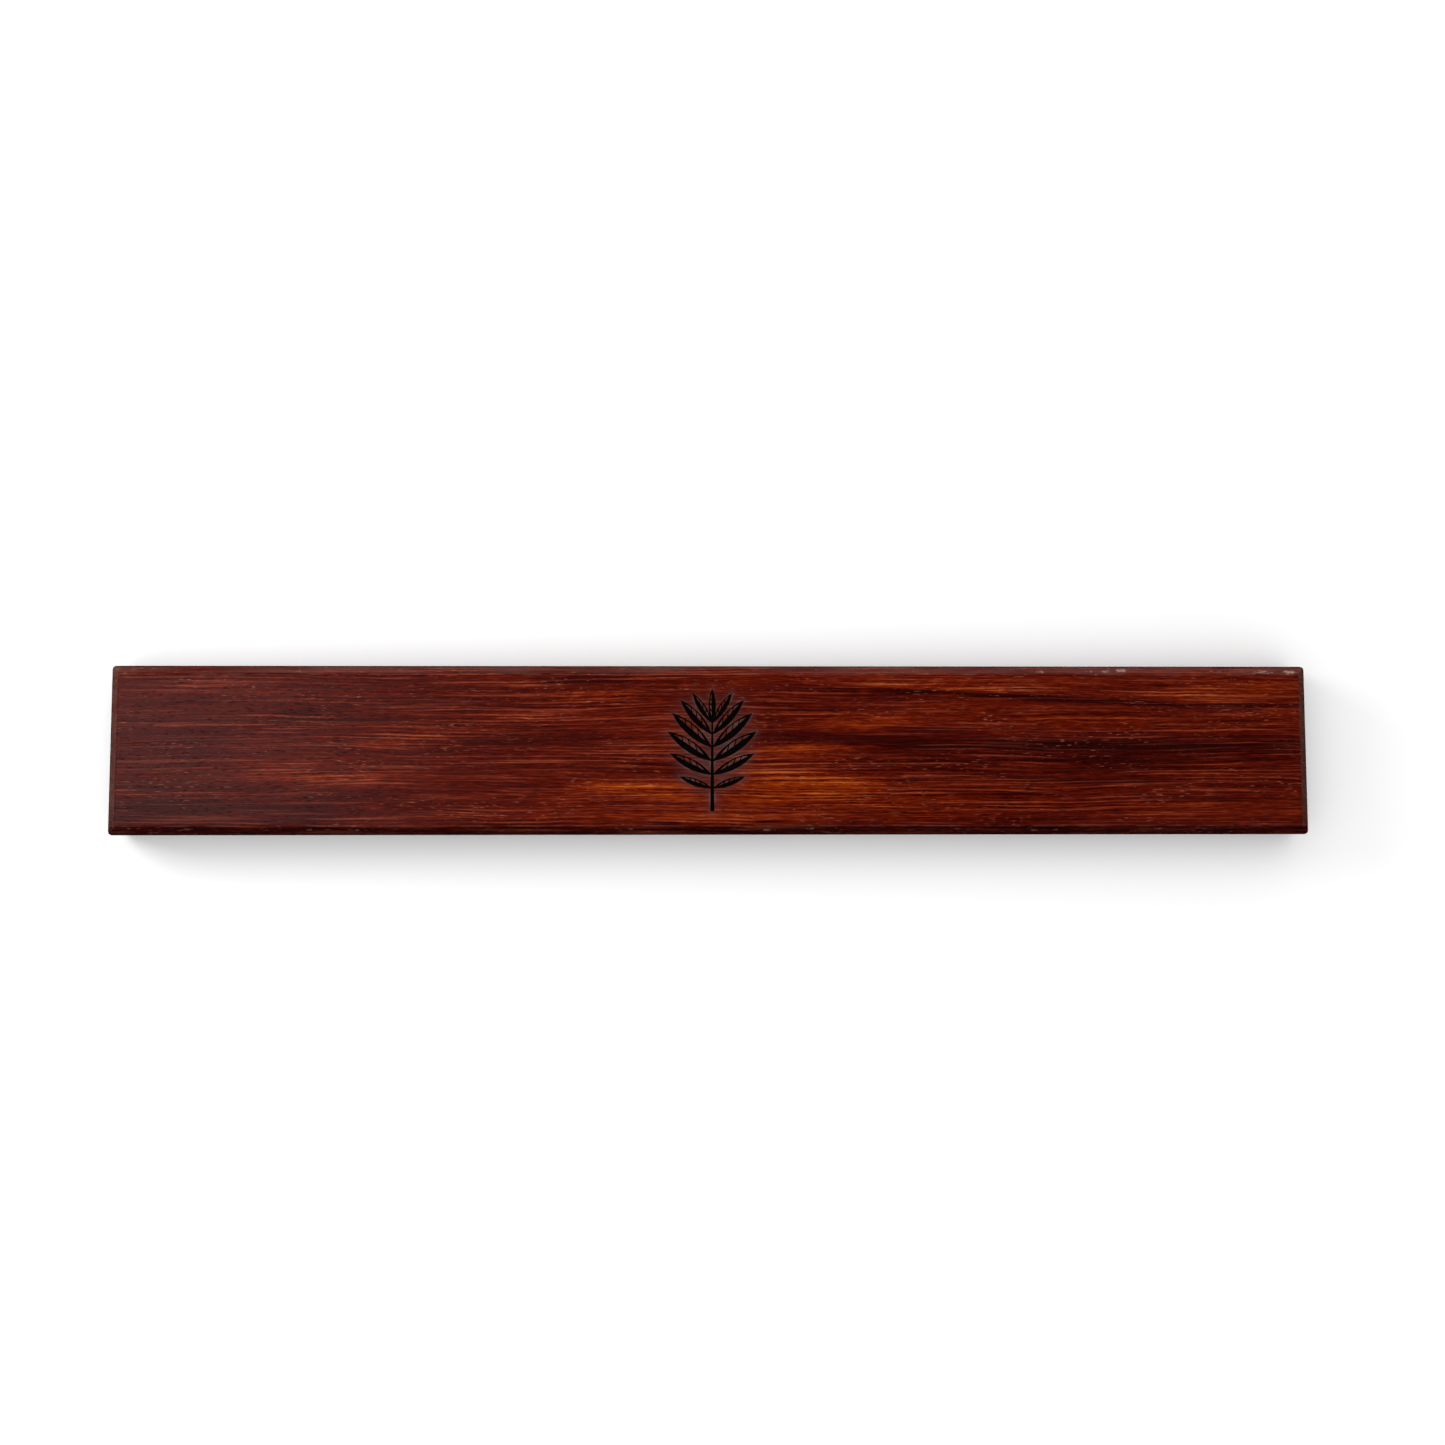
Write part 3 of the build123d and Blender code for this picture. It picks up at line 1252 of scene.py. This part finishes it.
class Shell:
    """A mesh in the making: points and faces, grown grid by grid and loop by loop."""

    def __init__(self) -> None:
        """Starts with nothing."""
        self.points: list[tuple[float, float, float]] = []
        self.faces: list[tuple[int, ...]] = []

    def grid(self, x: Points, y: Points, z: Points, flipped: bool = False) -> Points:
        """Adds a sheet of quads.

        Args:
            x: places along X, by column and row.
            y: places along Y.
            z: heights.
            flipped: whether the sheet faces down.

        Returns:
            The vertex numbers, by column and row.
        """
        first = len(self.points)
        numbers = first + np.arange(x.size).reshape(x.shape)
        self.points.extend(zip(x.ravel().tolist(), y.ravel().tolist(), z.ravel().tolist()))
        a, b, c, d = numbers[:-1, :-1], numbers[1:, :-1], numbers[1:, 1:], numbers[:-1, 1:]
        quads = np.stack([a, d, c, b] if flipped else [a, b, c, d], -1).reshape(-1, 4)
        self.faces.extend(map(tuple, quads.tolist()))
        return numbers

    def wall(
        self, above: Sequence[int], spots: Points, levels: Points, picks: Sequence[int] = ()
    ) -> list[int]:
        """Adds a loop below another and the faces between them.

        Args:
            above: the upper loop, anticlockwise from above.
            spots: the new loop's places in plan.
            levels: its heights.
            picks: the places in the upper loop that the new one keeps, or nothing for all of them.

        Returns:
            The new loop.
        """
        first = len(self.points)
        self.points.extend((float(s[0]), float(s[1]), float(level)) for s, level in zip(spots, levels))
        below = list(range(first, len(self.points)))
        self.bridge(above, below, picks)
        return below

    def bridge(self, above: Sequence[int], below: Sequence[int], picks: Sequence[int] = ()) -> None:
        """Adds the faces between two loops.

        Args:
            above: the upper loop.
            below: the lower loop.
            picks: the places in the upper loop that the lower one keeps, or nothing for all of them.
        """
        picks = picks or range(len(above))
        for i, start in enumerate(picks):
            j = (i + 1) % len(picks)
            end = picks[j] if j else picks[0] + len(above)
            between = [above[k % len(above)] for k in range(start, end + 1)]
            self.faces.append((between[0], below[i], below[j], *between[:0:-1]))

    def build(self, name: str) -> Object:
        """Turns the shell into an object in the scene.

        Args:
            name: the object's name.

        Returns:
            The object.
        """
        mesh = bpy.data.meshes.new(name)
        mesh.from_pydata(self.points, [], self.faces)
        mesh.validate()
        built = bpy.data.objects.new(name, mesh)
        bpy.context.scene.collection.objects.link(built)
        return built


# ---------------------------------------------------------------- the feet
@dataclass
class Feet:
    """The six moulded feet and their adhesive discs, which keep their CAD shapes."""

    nodes: Mapping[str, Object]
    foot_prefix: str = "foot_"
    tape_prefix: str = "foot_adhesive_"

    def dress(self, silicone: Material, tape: Material) -> list[str]:
        """Gives every foot and disc its finish.

        Args:
            silicone: the feet's material.
            tape: the discs' material.

        Returns:
            The dressed nodes' names.
        """
        dressed = []
        for name, node in sorted(self.nodes.items()):
            if name.startswith(self.foot_prefix):
                material = tape if name.startswith(self.tape_prefix) else silicone
                for place in node.material_slots:
                    place.material = material
                dressed.append(name)
        return dressed

    def centres(self) -> tuple[Pair, ...]:
        """The discs' middles in plan.

        Returns:
            One (x, y) for each disc.
        """
        found = []
        for name in sorted(self.nodes):
            if name.startswith(self.tape_prefix):
                low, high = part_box(name)
                found.append(((low.x + high.x) / 2, (low.y + high.y) / 2))
        return tuple(found)


# ---------------------------------------------------------------- the studio
class FallsOn(Enum):
    """What a studio light falls on."""

    OBJECT = "lit_object"
    FLOOR = "lit_floor"


@dataclass(frozen=True)
class SoftBox:
    """A rectangular studio light, flagged off from what it shouldn't light and from what mirrors it."""

    name: str
    place: tuple[float, float, float]
    width: float
    height: float
    power: float
    falls_on: FallsOn
    mirrored: bool

    def hang(self, groups: Mapping[FallsOn, bpy.types.Collection]) -> None:
        """Adds the light, turned towards the object.

        Args:
            groups: the objects that each kind of light falls on.
        """
        light = bpy.data.lights.new(self.name, "AREA")
        light.shape = "RECTANGLE"
        light.size = self.width
        light.size_y = self.height
        light.energy = self.power
        lamp = bpy.data.objects.new(self.name, light)
        lamp.location = self.place
        lamp.rotation_euler = (Vector() - Vector(self.place)).to_track_quat("-Z", "Y").to_euler()
        lamp.visible_glossy = self.mirrored
        lamp.visible_camera = False
        lamp.light_linking.receiver_collection = groups[self.falls_on]
        bpy.context.scene.collection.objects.link(lamp)


@dataclass
class Studio:
    """The white paper floor, the soft lights and the camera almost straight above the board."""

    top: float
    camera_height: float = 0.72
    camera_left: float = 0.0125
    camera_front: float = 0.0314
    lean: tuple[float, float, float] = (5.42, -1.29, -0.06)  # degrees about X, Y and Z
    lens: float = 48.95
    shift_down: float = 0.05055
    floor_size: float = 7.0
    dome: float = 0.13  # the even light's strength
    wall: float = 0.80  # the wall's brightness
    boxes: tuple[SoftBox, ...] = (
        SoftBox("key", (-0.50, 0.90, 1.60), 1.1, 0.9, 47.0, FallsOn.OBJECT, False),
        SoftBox("floor_key", (-0.85, 0.38, 0.40), 0.5, 0.4, 5.0, FallsOn.FLOOR, False),
        SoftBox("floor_wash", (0.0, 0.0, 1.0), 8.0, 8.0, 200.0, FallsOn.FLOOR, False),
        SoftBox("left_card", (-0.72, 0.05, 1.15), 0.40, 0.9, 1.75, FallsOn.OBJECT, True),
        SoftBox("back_card", (0.0, 1.30, 0.35), 2.4, 0.6, 1.4, FallsOn.OBJECT, True),
        SoftBox("side_card", (-1.30, 0.0, 0.35), 1.2, 0.6, 1.5, FallsOn.OBJECT, True),
        SoftBox("far_side_card", (1.30, 0.0, 0.35), 1.2, 0.6, 0.6, FallsOn.OBJECT, True),
    )

    def light(self, floor: Object, pieces: Iterable[Object]) -> None:
        """Adds the lights and the pale surroundings.

        Args:
            floor: the floor's object.
            pieces: the wrist rest's objects.
        """
        groups = {kind: bpy.data.collections.new(kind.value) for kind in FallsOn}
        groups[FallsOn.FLOOR].objects.link(floor)
        for piece in pieces:
            groups[FallsOn.OBJECT].objects.link(piece)
        for box in self.boxes:
            box.hang(groups)
        self._surround()
        bpy.context.scene.view_settings.view_transform = "Standard"

    def _surround(self) -> None:
        """Adds the room: a weak even light all round, behind a pale wall that lights nothing itself."""
        room = bpy.data.worlds.new("pale_room")
        bench = Bench(room)
        seen = Signal(bench, bench.node("ShaderNodeLightPath", {}, {}).outputs["Is Camera Ray"])
        strength = seen * (self.wall - self.dome) + self.dome
        wired = {"Strength": strength, "Color": (1.0, 1.0, 1.0, 1.0)}
        background = bench.node("ShaderNodeBackground", {}, wired)
        bench.node("ShaderNodeOutputWorld", {}, {"Surface": background.outputs[0]})
        bpy.context.scene.world = room
        room.cycles_visibility.glossy = False

    def lay_floor(self, paper: Material) -> Object:
        """Adds the floor.

        Args:
            paper: its material.

        Returns:
            Its object.
        """
        half = self.floor_size / 2
        corners = [(-half, -half, 0), (half, -half, 0), (half, half, 0), (-half, half, 0)]
        mesh = bpy.data.meshes.new("paper_floor")
        mesh.from_pydata(corners, [], [(0, 1, 2, 3)])
        mesh.materials.append(paper)
        floor = bpy.data.objects.new("paper_floor", mesh)
        floor.visible_glossy = False
        bpy.context.scene.collection.objects.link(floor)
        return floor

    def set_camera(self) -> None:
        """Adds the camera and makes it the scene's."""
        data = bpy.data.cameras.new("camera")
        data.lens = self.lens
        data.shift_y = -self.shift_down
        camera = bpy.data.objects.new("camera", data)
        camera.location = (-self.camera_left, -self.camera_front, self.top + self.camera_height)
        camera.rotation_euler = tuple(math.radians(angle) for angle in self.lean)
        bpy.context.scene.collection.objects.link(camera)
        bpy.context.scene.camera = camera


def main() -> None:
    """Builds the wrist rest's looks on the frame, piece by piece."""
    logging.basicConfig(level=logging.INFO, format="%(name)s: %(message)s")
    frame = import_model()
    nodes = frame["nodes"]
    board = Board(nodes["wood_board"])
    studio = Studio(top=board.top)
    studio.set_camera()
    LOG.info("camera %.2f m above the board", studio.camera_height)
    feet = Feet(nodes)
    finishes = (
        OiledHardwood(board.top, board.half_length, board.half_width, board.bevel).material(),
        CharredWood().material(),
        DrilledWood(feet.centres()).material(),
    )
    made = board.build(finishes)
    LOG.info("%s: %d faces", made.name, len(made.data.polygons))
    for name in feet.dress(MouldedSilicone().material(), AdhesiveTape().material()):
        LOG.info("%s: dressed", name)
    floor = studio.lay_floor(SeamlessPaper().material())
    studio.light(floor, (made, *nodes.values()))
    LOG.info("floor and %d lights", len(studio.boxes))


if __name__ == "__main__":
    main()
